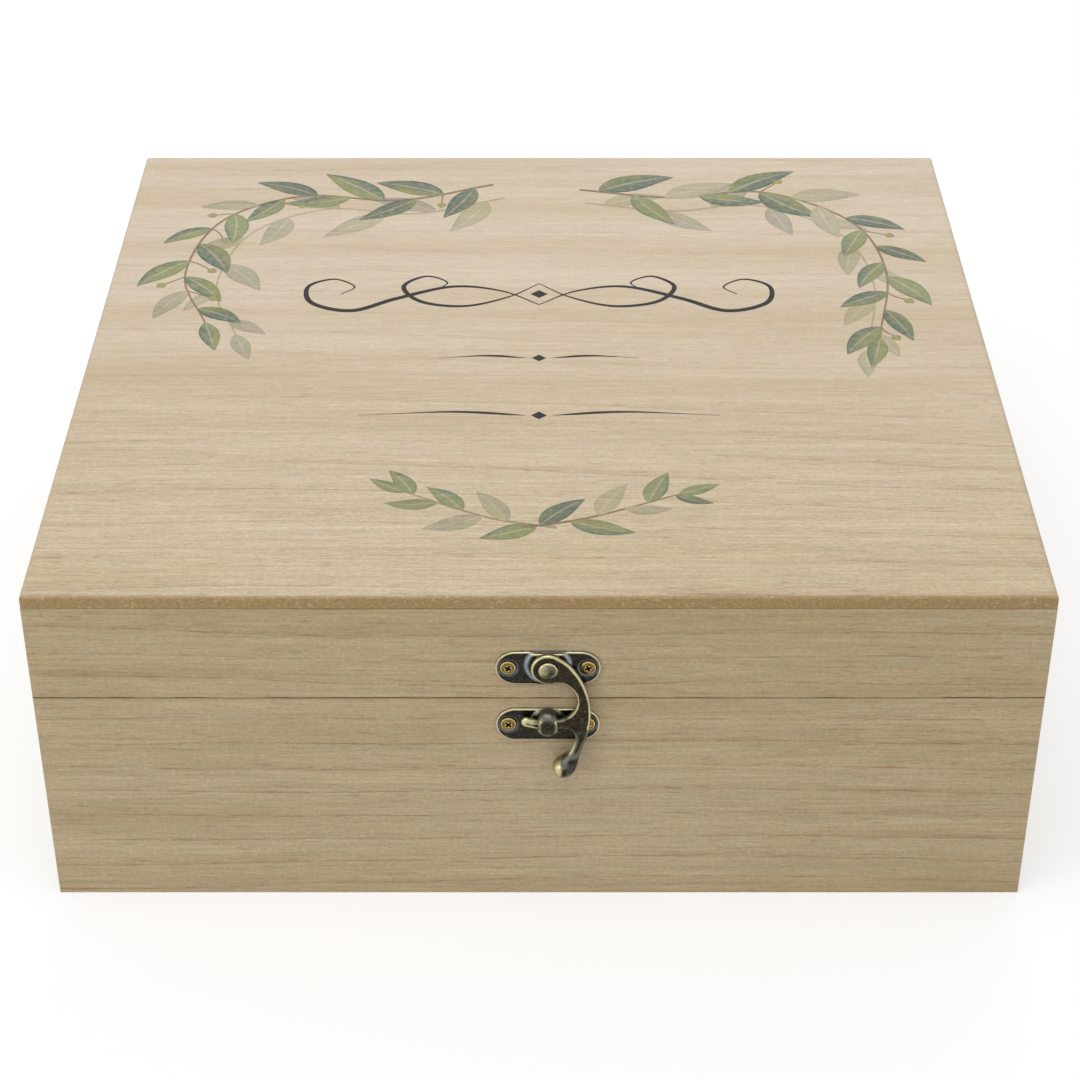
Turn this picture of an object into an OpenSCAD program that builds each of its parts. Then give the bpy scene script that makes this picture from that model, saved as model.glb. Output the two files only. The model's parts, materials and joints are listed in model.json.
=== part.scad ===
// Wooden keepsake box with a hinged lid and a swing-hook clasp, in millimetres.
// +Z is up and the front faces -Y. The origin is the middle of the underside.

/* [Box] */
// Outside width, left to right
box_w = 280; // [220:1:360]
// Outside depth, front to back
box_d = 269; // [200:1:340]
// Height of the base, from the underside to the seam
base_h = 71.7; // [50:0.1:120]
// Height of the lid above the seam
lid_h = 34.8; // [28:0.1:60]
// Gap between the base and the lid at the seam
seam_gap = 0.3; // [0.2:0.05:0.6]

/* [Boards] */
// Thickness of the wall boards
wall = 9; // [8:0.5:14]
// Thickness left at the ends of the front and back boards, outside the side boards
corner_tongue = 4; // [3.5:0.5:6]
// Thickness of the lid's top panel
top_t = 4.5; // [3:0.5:8]
// Thickness of the bottom panel
bottom_t = 4; // [3:0.5:8]
// Depth that the bottom panel is let into the boards
bottom_lip = 4.5; // [3:0.5:6]
// Rounding of the top panel's upper edges
edge_r = 1.6; // [0.6:0.1:2.4]

/* [Clasp plates] */
// Clasp's centre line, to the right of the middle of the front
clasp_x = 2.5; // [-20:0.1:20]
// Length of each plate
plate_w = 29; // [27:0.5:36]
// Height of each plate
plate_h = 10.9; // [10:0.1:13]
// Thickness of each plate
plate_t = 0.8; // [0.6:0.1:1.2]
// Centre of the upper plate, above the seam
hook_plate_rise = 10.9; // [9:0.1:14]
// Centre of the lower plate, below the seam
keeper_plate_drop = 8.7; // [7:0.1:12]
// Distance between a plate's two screws
screw_pitch = 22; // [20:0.5:24]
// Diameter of the upper plate's raised boss, at its foot
boss_foot_d = 14.4; // [12:0.1:16]
// Diameter of the boss's flat top
boss_top_d = 10.8; // [9:0.1:12]
// Height of the boss above the plate
boss_t = 0.9; // [0.6:0.1:1.5]

/* [Swing hook] */
// Rivet's axis, above the seam
pivot_rise = 12.3; // [10:0.1:16]
// Thickness of the hook
hook_t = 1.8; // [1.4:0.1:2.4]
// Radius of the hook's eye
eye_r = 4.8; // [4:0.1:5.4]
// Width of the finger that enters the keeper
finger_w = 2.7; // [2.2:0.1:3]
// Reach of the finger's tip past the keeper's centre
finger_reach = 7.4; // [6:0.1:9]
// Distance from the rivet's axis to the outside of the arm
arm_out = 11.9; // [10.5:0.1:13]
// Radius of the arm's outside
arm_r = 27; // [24:0.5:32]
// Radius of the thumb ball
ball_r = 3.2; // [2.6:0.1:4]
// Rivet's shank diameter
rivet_d = 3; // [2.4:0.1:4]
// Rivet's head diameter
rivet_head_d = 5.4; // [5:0.1:6.5]
// Height of the rivet's head
rivet_head_t = 1.2; // [0.8:0.1:1.8]

/* [Keeper] */
// Centre of the keeper, below the seam
keeper_drop = 7.1; // [6:0.1:10]
// Width of the keeper's post
post_w = 6.2; // [5.4:0.1:7]
// Height of the keeper's post
post_h = 7.2; // [6.6:0.1:8.5]
// Diameter across the post's rounded corners
post_round_d = 8.2; // [7.8:0.1:9.5]
// Thickness of the post's front, outside the slot
post_front_t = 1; // [0.8:0.1:1.6]
// Diameter of the flange at the post's foot
flange_d = 9.4; // [8.6:0.1:10.5]
// Thickness of the flange
flange_t = 0.5; // [0.4:0.05:0.7]
// Diameter of the spigot that holds the post in its plate
spigot_d = 3.4; // [2.6:0.1:4]

/* [Clasp screws] */
// Shank diameter
screw_d = 2.2; // [1.8:0.1:2.6]
// Head diameter
screw_head_d = 4.5; // [4:0.1:5]
// Length in the wood
screw_l = 7; // [5:0.5:7.5]
// Height of the head above the plate
screw_head_t = 0.5; // [0.3:0.05:0.7]

/* [Hinges] */
// Distance between the two hinges, centre to centre
hinge_span = 160; // [100:1:190]
// Length of each hinge
hinge_l = 26; // [20:0.5:36]
// Thickness of a leaf
leaf_t = 0.8; // [0.6:0.1:1.2]
// Diameter of the knuckles
knuckle_d = 3.8; // [3.4:0.1:4.4]
// Depth of the knuckles inside the back face
knuckle_inset = 0.7; // [0.4:0.1:1.2]
// Diameter of the hinge pin
pin_d = 1.5; // [1.2:0.1:1.8]
// Wood left between a leaf and the inside of the box
leaf_margin = 0.6; // [0.5:0.1:1]
// Opening angle of the lid
open_angle = 100; // [95:1:110]
// Hinge screw's shank diameter
hinge_screw_d = 1.6; // [1.3:0.1:1.8]
// Hinge screw's head diameter
hinge_screw_head_d = 2.9; // [2.6:0.1:3.2]
// Hinge screw's length
hinge_screw_l = 9; // [7:0.5:12]
// Distance between the two screws of a leaf
hinge_screw_pitch = 17.4; // [15:0.2:19]

/* [Clearances] */
// Round a pin or rivet that something turns on, on the radius
run_clear = 0.05; // [0.02:0.01:0.1]
// Round a screw or spigot, on the radius
fit_clear = 0.05; // [0.03:0.01:0.1]
// Round the finger in the keeper's slot
slot_clear = 0.3; // [0.25:0.05:0.5]
// Between the hook and the boss behind it, and the rivet's head before it
hook_gap = 0.12; // [0.08:0.01:0.2]
// Round the knuckles in the wood, and between the knuckles
knuckle_clear = 0.2; // [0.15:0.05:0.35]
// Round a leaf in its mortise
mortise_clear = 0.1; // [0.05:0.05:0.2]
// Angle left between the back chamfers when the lid is fully open
open_clear = 1; // [0.5:0.5:3]

/* [Hidden] */
$fn = 64;
ROUND_FN = 32;

WOOD = [0.82, 0.74, 0.61];
WOOD_TOP = [0.84, 0.78, 0.69];
BRONZE = [0.33, 0.29, 0.2];
BRASS = [0.6, 0.48, 0.27];
STEEL = [0.6, 0.6, 0.58];

cut = 1;                                  // overshoot of a cut past a face
seam_z = base_h + seam_gap / 2;           // middle of the seam
lid_z = base_h + seam_gap;                // underside of the lid's frame
rail_h = lid_h - top_t;                   // height of the lid's rails
front_y = -box_d / 2;

// Clasp, measured from the front face: how far each layer stands proud
hook_back = plate_t + boss_t + hook_gap;
hook_front = hook_back + hook_t;
rivet_seat = hook_front + hook_gap;
pivot_z = seam_z + pivot_rise;
keeper_z = seam_z - keeper_drop;
hook_plate_z = seam_z + hook_plate_rise;
keeper_plate_z = seam_z - keeper_plate_drop;
reach = pivot_rise + keeper_drop;         // rivet's axis to the finger's centre line
post_front = hook_front + slot_clear + post_front_t;

// Hinges, measured from the pin's axis
pin_y = box_d / 2 - knuckle_d / 2 - knuckle_inset;
leaf_reach = wall - knuckle_d / 2 - knuckle_inset - leaf_margin;
leaf_root = (knuckle_d + pin_d) / 4;
knuckle_room = knuckle_d / 2 + knuckle_clear;
hinge_screw_y = -(leaf_reach + knuckle_room) / 2;
pin_head_t = 0.5;
pin_head_d = pin_d + 1.2;
chamfer_angle = (open_angle + open_clear) / 2;

function arc(centre, r, from, to, steps) = [
    for (i = [0:steps])
        let (a = from + (to - from) * i / steps)
            centre + r * [cos(a), sin(a)]
];

// ---- Boards ----

// Board across the front (side -1) or the back (side 1), rabbeted for the side boards
module cross_board(side, z0, h) {
    difference() {
        translate([-box_w / 2, side > 0 ? box_d / 2 - wall : -box_d / 2, z0])
            cube([box_w, wall, h]);
        for (end = [-1, 1])
            translate([end * (box_w / 2 - wall / 2 + cut / 2),
                       side * (box_d / 2 - wall / 2 - corner_tongue / 2 - cut / 2),
                       z0 + h / 2])
                cube([wall + cut, wall - corner_tongue + cut, h + 2 * cut], center = true);
    }
}

// Board at the left (side -1) or the right (side 1)
module side_board(side, z0, h) {
    translate([side * (box_w / 2 - wall / 2), 0, z0 + h / 2])
        cube([wall, box_d - 2 * corner_tongue, h], center = true);
}

module bottom_panel_shape(extra) {
    translate([0, 0, (bottom_t - extra) / 2])
        cube([box_w - 2 * wall + 2 * bottom_lip,
              box_d - 2 * wall + 2 * bottom_lip,
              bottom_t + extra], center = true);
}

// Holes for a plate's two screws, bored into the front
module clasp_pilots(z) {
    on_front(z)
        screw_pair(screw_pitch)
            translate([0, 0, -screw_l - fit_clear])
                cylinder(h = screw_l + fit_clear + cut, d = screw_d + 2 * fit_clear);
}

// Room for one hinge in the base's top edge, or in the lid's lower edge when flipped
module hinge_room() {
    room_l = hinge_l + 2 * pin_head_t + 2 * knuckle_clear;
    translate([-hinge_l / 2 - mortise_clear, -leaf_reach - mortise_clear, -seam_gap / 2 - leaf_t])
        cube([hinge_l + 2 * mortise_clear, leaf_reach + mortise_clear, leaf_t + seam_gap / 2 + cut]);
    rotate([0, 90, 0])
        cylinder(h = room_l, r = knuckle_room, center = true);
    screw_pair(hinge_screw_pitch)
        translate([0, hinge_screw_y, -seam_gap / 2 - hinge_screw_l - fit_clear])
            cylinder(h = hinge_screw_l + fit_clear + cut, d = hinge_screw_d + 2 * fit_clear);
}

// Chamfer behind the pin's axis, along the whole back
module back_chamfer() {
    deep = wall;
    rotate([90, 0, 90])
        linear_extrude(box_w + 2 * cut, center = true)
            polygon([[0, 0], [deep, -deep * tan(chamfer_angle)], [deep, deep], [0, deep]]);
}

module at_pin(x) {
    translate([x, pin_y, seam_z]) children();
}

module flip() {
    mirror([0, 0, 1]) children();
}

module on_front(z) {
    translate([clasp_x, front_y, z]) rotate([90, 0, 0]) children();
}

module screw_pair(pitch) {
    for (side = [-1, 1])
        translate([side * pitch / 2, 0, 0]) children();
}

module base_front() {
    color(WOOD)
        difference() {
            cross_board(-1, 0, base_h);
            bottom_panel_shape(cut);
            clasp_pilots(keeper_plate_z);
        }
}

module base_back() {
    color(WOOD)
        difference() {
            cross_board(1, 0, base_h);
            bottom_panel_shape(cut);
            at_pin(0) back_chamfer();
            for (side = [-1, 1])
                at_pin(side * hinge_span / 2) hinge_room();
        }
}

module base_side(side) {
    color(WOOD)
        difference() {
            side_board(side, 0, base_h);
            bottom_panel_shape(cut);
        }
}

module base_bottom() {
    color(WOOD) bottom_panel_shape(0);
}

module lid_front_rail() {
    color(WOOD)
        difference() {
            cross_board(-1, lid_z, rail_h);
            clasp_pilots(hook_plate_z);
        }
}

module lid_back_rail() {
    color(WOOD)
        difference() {
            cross_board(1, lid_z, rail_h);
            at_pin(0) flip() back_chamfer();
            for (side = [-1, 1])
                at_pin(side * hinge_span / 2) flip() hinge_room();
        }
}

module lid_side_rail(side) {
    color(WOOD) side_board(side, lid_z, rail_h);
}

// Section of the top panel, with its two upper corners rounded
module panel_section(w) {
    corner = [w / 2 - edge_r, top_t - edge_r];
    polygon(concat(
        [[-w / 2, 0], [w / 2, 0]],
        arc(corner, edge_r, 0, 90, 4),
        arc([-corner[0], corner[1]], edge_r, 90, 180, 4)
    ));
}

module lid_top_panel() {
    color(WOOD_TOP)
        translate([0, 0, lid_z + rail_h])
            intersection() {
                rotate([90, 0, 0])
                    linear_extrude(box_d, center = true) panel_section(box_w);
                rotate([90, 0, 90])
                    linear_extrude(box_w, center = true) panel_section(box_d);
            }
}

// ---- Clasp ----

module plate_outline() {
    square([plate_w - plate_h, plate_h], center = true);
    screw_pair(plate_w - plate_h) circle(d = plate_h);
}

// Plate with two countersunk screw holes
module clasp_plate() {
    seat = plate_t / 2;
    difference() {
        linear_extrude(plate_t) plate_outline();
        screw_pair(screw_pitch) {
            translate([0, 0, -cut])
                cylinder(h = plate_t + 2 * cut, d = screw_d + 2 * fit_clear);
            translate([0, 0, plate_t - seat])
                cylinder(h = seat, d1 = screw_d + 2 * fit_clear, d2 = screw_head_d + 2 * fit_clear);
        }
    }
}

// Wood screw with a countersunk, slightly domed head and a cross recess
module clasp_screw(turn) {
    r = screw_d / 2;
    head_r = screw_head_d / 2;
    top = plate_t + screw_head_t;
    rim = 0.15;
    difference() {
        rotate_extrude()
            polygon([[0, -screw_l], [r, -screw_l + 2 * r], [r, plate_t / 2], [head_r, plate_t],
                     [head_r, plate_t + rim], [head_r * 0.8, top - rim], [head_r * 0.45, top],
                     [0, top]]);
        rotate([0, 0, turn])
            translate([0, 0, top])
                for (a = [0, 90])
                    rotate([0, 0, a])
                        cube([screw_head_d * 0.56, screw_head_d * 0.15, screw_head_t * 2.6],
                             center = true);
    }
}

module clasp_screws(z, turns) {
    color(BRASS)
        on_front(z) {
            translate([-screw_pitch / 2, 0, 0]) clasp_screw(turns[0]);
            translate([screw_pitch / 2, 0, 0]) clasp_screw(turns[1]);
        }
}

// Upper plate: its round boss is pressed out, so it is hollow behind
module hook_plate() {
    lift = pivot_rise - hook_plate_rise;
    hollow_d = boss_top_d - 2 * plate_t;
    color(BRONZE)
        on_front(hook_plate_z)
            difference() {
                union() {
                    clasp_plate();
                    intersection() {
                        linear_extrude(plate_t + boss_t) plate_outline();
                        translate([0, lift, plate_t / 2])
                            cylinder(h = plate_t / 2 + boss_t, d1 = boss_foot_d, d2 = boss_top_d);
                    }
                }
                translate([0, lift, -cut])
                    cylinder(h = cut + boss_t, d = hollow_d);
                translate([0, lift, -cut])
                    cylinder(h = plate_t + boss_t + 2 * cut, d = rivet_d + 2 * run_clear);
            }
}

// Rivet: its tail is spread in the hollow behind the boss
module hook_rivet() {
    r = rivet_d / 2;
    head_r = rivet_head_d / 2;
    tail_r = r + 0.9;
    tail_top = boss_t - run_clear;
    head_rim = rivet_head_t * 0.35;
    color(BRASS)
        on_front(pivot_z)
            rotate_extrude()
                polygon(concat(
                    [[0, 0.1], [tail_r, 0.1], [tail_r, tail_top], [r, tail_top], [r, rivet_seat],
                     [head_r, rivet_seat]],
                    [for (a = [0:18:90])
                        [head_r * cos(a), rivet_seat + head_rim + (rivet_head_t - head_rim) * sin(a)]]
                ));
}

// Lower plate, with a hole for the keeper's spigot
module keeper_plate() {
    lift = keeper_plate_drop - keeper_drop;
    color(BRONZE)
        on_front(keeper_plate_z)
            difference() {
                clasp_plate();
                translate([0, lift, -cut])
                    cylinder(h = plate_t + 2 * cut, d = spigot_d + 2 * fit_clear);
            }
}

// Ring round the rivet's axis that the finger runs in, widened by a clearance
module finger_ring(clear) {
    difference() {
        cylinder(h = hook_t + 2 * clear, r = reach + finger_w / 2 + clear);
        translate([0, 0, -cut])
            cylinder(h = hook_t + 2 * clear + 2 * cut, r = reach - finger_w / 2 - clear);
    }
}

// Keeper: a rounded post on a flange, slotted for the finger
module keeper_post() {
    bevel = 0.7;
    color(BRONZE)
        on_front(keeper_z)
            difference() {
                union() {
                    translate([0, 0, fit_clear])
                        cylinder(h = plate_t, d = spigot_d);
                    intersection() {
                        translate([0, 0, plate_t])
                            cylinder(h = flange_t, d1 = flange_d, d2 = flange_d - 0.8);
                        translate([0, keeper_drop - keeper_plate_drop, 0])
                            linear_extrude(plate_t + flange_t) plate_outline();
                    }
                    intersection() {
                        translate([0, 0, plate_t])
                            linear_extrude(post_front - plate_t)
                                square([post_w, post_h], center = true);
                        union() {
                            translate([0, 0, plate_t])
                                cylinder(h = post_front - plate_t - bevel, d = post_round_d);
                            translate([0, 0, post_front - bevel])
                                cylinder(h = bevel, d1 = post_round_d, d2 = post_round_d - 2 * bevel);
                        }
                    }
                }
                translate([0, reach, hook_back - slot_clear])
                    finger_ring(slot_clear);
            }
}

// Outline of the eye, the bowed arm and the root of the finger
module hook_outline() {
    open_r = (reach - finger_w / 2 - eye_r * 0.85) / 2;
    open_y = -(reach - finger_w / 2 - open_r);
    crotch_r = 2.75;
    crotch = [arm_out - 7.2, -reach - 3.8];
    shoulder = eye_r * [sin(23), cos(23)];
    circle(r = eye_r);
    difference() {
        intersection() {
            translate([arm_out - arm_r, -0.8 * reach]) circle(r = arm_r, $fn = 128);
            polygon([[0, 0], shoulder, shoulder + 5 * [cos(23), -sin(23)], [arm_out + 1, 0],
                     [arm_out + 1, crotch[1]], crotch, [crotch[0], -reach], [crotch[0] - 2, -reach],
                     [crotch[0] - 2, open_y]]);
        }
        translate([1, open_y]) circle(r = open_r);
        translate(crotch) circle(r = crotch_r);
    }
}

// Finger: part of the ring round the rivet's axis, with a round tip
module hook_finger() {
    tip_x = finger_w / 2 - finger_reach;
    tip = [tip_x, -sqrt(reach * reach - tip_x * tip_x)];
    root_x = arm_out - 6;
    intersection() {
        finger_ring(0);
        linear_extrude(hook_t)
            polygon([[0, 0], 1.5 * tip, [root_x * 1.5, -reach * 1.5]]);
    }
    translate(tip) cylinder(h = hook_t, d = finger_w);
}

// Tail: leaves the arm's end, comes forward and swells into the thumb ball
module hook_tail() {
    root = [arm_out - 2.8, -reach - 3.7];
    knee = [arm_out - 3.7, -reach - 7.2, hook_t / 2 + 0.5];
    neck = [arm_out - 5.2, -reach - 10, hook_t / 2 + 1.1];
    ball = [arm_out - 7.6, -reach - 12.7, ball_r - hook_back + 1.1];
    limb_r = 1.55;
    hull() {
        translate(root) cylinder(h = hook_t, r = limb_r, $fn = ROUND_FN);
        translate(knee) sphere(r = limb_r, $fn = ROUND_FN);
    }
    hull() {
        translate(knee) sphere(r = limb_r, $fn = ROUND_FN);
        translate(neck) sphere(r = limb_r + 0.1, $fn = ROUND_FN);
    }
    hull() {
        translate(neck) sphere(r = limb_r + 0.1, $fn = ROUND_FN);
        translate(ball) sphere(r = ball_r, $fn = ROUND_FN);
    }
}

module swing_hook() {
    color(BRONZE)
        on_front(pivot_z)
            translate([0, 0, hook_back])
                difference() {
                    union() {
                        linear_extrude(hook_t) hook_outline();
                        hook_finger();
                        hook_tail();
                    }
                    translate([0, 0, -cut])
                        cylinder(h = hook_t + 2 * cut, d = rivet_d + 2 * run_clear);
                }
}

// ---- Hinges ----

// Stretches of the barrel, as [from, to]: the lower leaf has the outer two
function knuckle_spans(lower) =
    let (a = hinge_l / 2, b = hinge_l / 6, g = knuckle_clear / 2)
        lower ? [[-a, -b - g], [b + g, a]] : [[-b + g, b - g]];

module barrel_spans(lower, r, extra) {
    for (span = knuckle_spans(lower))
        translate([span[0] - extra, 0, 0])
            rotate([0, 90, 0])
                cylinder(h = span[1] - span[0] + 2 * extra, r = r);
}

// One leaf with its knuckles, flat side up at the seam, round the pin's axis
module hinge_leaf(lower) {
    difference() {
        union() {
            difference() {
                translate([-hinge_l / 2, -leaf_reach, -seam_gap / 2 - leaf_t])
                    cube([hinge_l, leaf_reach - leaf_root, leaf_t]);
                for (span = knuckle_spans(!lower))
                    translate([span[0] - knuckle_clear, -knuckle_room, -knuckle_d])
                        cube([span[1] - span[0] + 2 * knuckle_clear, knuckle_d, 2 * knuckle_d]);
            }
            barrel_spans(lower, knuckle_d / 2, 0);
        }
        rotate([0, 90, 0])
            cylinder(h = hinge_l + 2 * cut, d = pin_d + 2 * run_clear, center = true);
        screw_pair(hinge_screw_pitch)
            translate([0, hinge_screw_y, -seam_gap / 2 - leaf_t]) {
                translate([0, 0, -cut])
                    cylinder(h = leaf_t + cut, d = hinge_screw_d + 2 * fit_clear);
                cylinder(h = leaf_t, d1 = hinge_screw_d + 2 * fit_clear,
                         d2 = hinge_screw_head_d + 2 * fit_clear);
            }
    }
}

module hinge_pin() {
    stand_off = run_clear + pin_head_t;
    rotate([0, 90, 0]) {
        cylinder(h = hinge_l + 2 * stand_off, d = pin_d, center = true);
        for (side = [-1, 1])
            translate([0, 0, side * (hinge_l / 2 + stand_off - pin_head_t / 2)])
                cylinder(h = pin_head_t, d = pin_head_d, center = true);
    }
}

// Two countersunk screws, heads flush with the leaf
module hinge_screws() {
    r = hinge_screw_d / 2;
    top = -seam_gap / 2;
    screw_pair(hinge_screw_pitch)
        translate([0, hinge_screw_y, 0])
            difference() {
                rotate_extrude()
                    polygon([[0, top - hinge_screw_l], [r, top - hinge_screw_l + 2 * r],
                             [r, top - leaf_t], [hinge_screw_head_d / 2, top], [0, top]]);
                translate([0, 0, top])
                    for (a = [0, 90])
                        rotate([0, 0, a])
                            cube([hinge_screw_head_d * 0.6, hinge_screw_head_d * 0.15, leaf_t],
                                 center = true);
            }
}

module lower_leaf(side) {
    color(BRONZE) at_pin(side * hinge_span / 2) hinge_leaf(true);
}

module upper_leaf(side) {
    color(BRONZE) at_pin(side * hinge_span / 2) flip() hinge_leaf(false);
}

module pin(side) {
    color(STEEL) at_pin(side * hinge_span / 2) hinge_pin();
}

module lower_screws(side) {
    color(BRASS) at_pin(side * hinge_span / 2) hinge_screws();
}

module upper_screws(side) {
    color(BRASS) at_pin(side * hinge_span / 2) flip() hinge_screws();
}

base_front();
base_back();
base_side(-1);  // base_left
base_side(1);  // base_right
base_bottom();
keeper_plate();
keeper_post();
clasp_screws(keeper_plate_z, [48, 20]);  // keeper_screws
lower_leaf(-1);  // hinge_left_lower_leaf
lower_leaf(1);  // hinge_right_lower_leaf
pin(-1);  // hinge_left_pin
pin(1);  // hinge_right_pin
lower_screws(-1);  // hinge_left_lower_screws
lower_screws(1);  // hinge_right_lower_screws
lid_front_rail();
lid_back_rail();
lid_side_rail(-1);  // lid_left_rail
lid_side_rail(1);  // lid_right_rail
lid_top_panel();
hook_plate();
hook_rivet();
clasp_screws(hook_plate_z, [60, 22]);  // hook_plate_screws
upper_leaf(-1);  // hinge_left_upper_leaf
upper_leaf(1);  // hinge_right_upper_leaf
upper_screws(-1);  // hinge_left_upper_screws
upper_screws(1);  // hinge_right_upper_screws
swing_hook();
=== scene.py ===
import json
import math
import random

import bmesh
import bpy
import numpy as np
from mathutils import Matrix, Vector


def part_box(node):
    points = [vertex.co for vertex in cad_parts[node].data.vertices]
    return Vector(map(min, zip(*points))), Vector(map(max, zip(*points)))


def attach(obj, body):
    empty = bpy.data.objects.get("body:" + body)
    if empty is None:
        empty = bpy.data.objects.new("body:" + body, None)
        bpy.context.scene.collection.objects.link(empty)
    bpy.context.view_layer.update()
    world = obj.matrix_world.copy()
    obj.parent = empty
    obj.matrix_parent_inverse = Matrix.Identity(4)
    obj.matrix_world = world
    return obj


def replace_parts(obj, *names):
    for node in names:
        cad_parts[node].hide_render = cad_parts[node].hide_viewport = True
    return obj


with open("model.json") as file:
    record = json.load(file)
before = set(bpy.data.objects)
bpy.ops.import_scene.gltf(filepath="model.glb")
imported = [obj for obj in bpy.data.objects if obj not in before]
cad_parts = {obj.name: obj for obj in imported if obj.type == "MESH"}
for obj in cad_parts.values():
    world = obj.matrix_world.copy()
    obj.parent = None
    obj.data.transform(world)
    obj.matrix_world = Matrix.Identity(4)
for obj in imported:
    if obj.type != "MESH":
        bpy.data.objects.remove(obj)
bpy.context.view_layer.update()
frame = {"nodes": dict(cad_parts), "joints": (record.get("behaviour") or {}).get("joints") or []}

# A wooden keepsake box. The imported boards, lid panel and hinges keep their shapes and get their
# finish here. The clasp is cast again in finer form, in the same places and at the same sizes.
# The print on the lid is thin closed ink shapes that ride on it.

MM = 0.001
AXES = {"X": 0, "Y": 1, "Z": 2}
NODES = frame["nodes"]
PANEL_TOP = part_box("lid_top_panel")[1].z
FRONT_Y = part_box("lid_front_rail")[0].y
SEAM_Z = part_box("lid_front_rail")[0].z


def srgb(r, g, b):
    """A colour given as 0 to 255 sRGB, as linear values."""
    def channel(v):
        v /= 255
        return v / 12.92 if v <= 0.04045 else ((v + 0.055) / 1.055) ** 2.4
    return (channel(r), channel(g), channel(b), 1)


# ---- Node trees ----

class Tree:
    """Short calls for building the nodes of a material or a world."""

    def __init__(self, holder):
        holder.use_nodes = True
        self.holder = holder
        self.nodes = holder.node_tree.nodes
        self.links = holder.node_tree.links
        self.nodes.clear()

    def add(self, kind, inputs=None, **settings):
        node = self.nodes.new(kind)
        for key, value in settings.items():
            setattr(node, key, value)
        for key, value in (inputs or {}).items():
            self.set(node.inputs[key], value)
        return node

    def set(self, socket, value):
        if isinstance(value, bpy.types.NodeSocket):
            self.links.new(value, socket)
        else:
            socket.default_value = value

    def coords(self, kind="Object"):
        return self.add("ShaderNodeTexCoord").outputs[kind]

    def split(self, vector):
        """A vector's X, Y and Z."""
        return self.add("ShaderNodeSeparateXYZ", {"Vector": vector}).outputs

    def math(self, operation, a, b=0.0, c=0.0, clamp=False):
        node = self.add("ShaderNodeMath", {0: a, 1: b, 2: c}, operation=operation, use_clamp=clamp)
        return node.outputs[0]

    def vector(self, operation, a, b=(0, 0, 0)):
        return self.add("ShaderNodeVectorMath", {0: a, 1: b}, operation=operation).outputs[0]

    def scaled(self, point, x, y, z):
        """The point times a scale for each axis, in features per millimetre."""
        return self.vector("MULTIPLY", point, (x / MM, y / MM, z / MM))

    def noise(self, point, detail=2.0, roughness=0.5, distortion=0.0, colour=False):
        node = self.add("ShaderNodeTexNoise", {
            "Vector": point, "Scale": 1.0, "Detail": detail,
            "Roughness": roughness, "Distortion": distortion})
        return node.outputs["Color" if colour else "Fac"]

    def smooth(self, value, low, high, to_low=0.0, to_high=1.0):
        node = self.add("ShaderNodeMapRange", {
            "Value": value, "From Min": low, "From Max": high,
            "To Min": to_low, "To Max": to_high}, interpolation_type="SMOOTHSTEP")
        return node.outputs["Result"]

    def mix(self, factor, a, b, blend="MIX"):
        node = self.add("ShaderNodeMix", data_type="RGBA", blend_type=blend)
        node.clamp_factor = True
        self.set(node.inputs[0], factor)
        self.set(node.inputs[6], a)
        self.set(node.inputs[7], b)
        return node.outputs[2]

    def bump(self, height, distance, strength=1.0):
        node = self.add("ShaderNodeBump", {
            "Height": height, "Distance": distance, "Strength": strength})
        return node.outputs["Normal"]

    def seen(self):
        """1 for rays that see the surface directly, in a reflection or through glass, else 0."""
        rays = self.add("ShaderNodeLightPath").outputs
        direct = self.math("MAXIMUM", rays["Is Camera Ray"], rays["Is Glossy Ray"])
        return self.math("MAXIMUM", direct, rays["Is Transmission Ray"])

    def finish(self, inputs):
        """Ends a material with one shader, and returns the material."""
        shader = self.add("ShaderNodeBsdfPrincipled", inputs)
        output = self.add("ShaderNodeOutputMaterial")
        self.links.new(shader.outputs["BSDF"], output.inputs["Surface"])
        return self.holder


def material_tree(name):
    return Tree(bpy.data.materials.new(name))


# ---- Wood ----

GRAIN_DEPTH = 0.08 * MM
# the face tones, used on the lid's top, are paler and less yellow than the front tones of the same
# wood: a painted sheen of the light on the top
TONES = {
    "face": {"pale": srgb(214, 197, 168), "warm": srgb(202, 182, 146),
             "late": srgb(180, 150, 108), "pore": srgb(150, 118, 80)},
    "front": {"pale": srgb(203, 185, 150), "warm": srgb(192, 170, 131),
              "late": srgb(172, 133, 91), "pore": srgb(140, 102, 66)},
}


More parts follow.
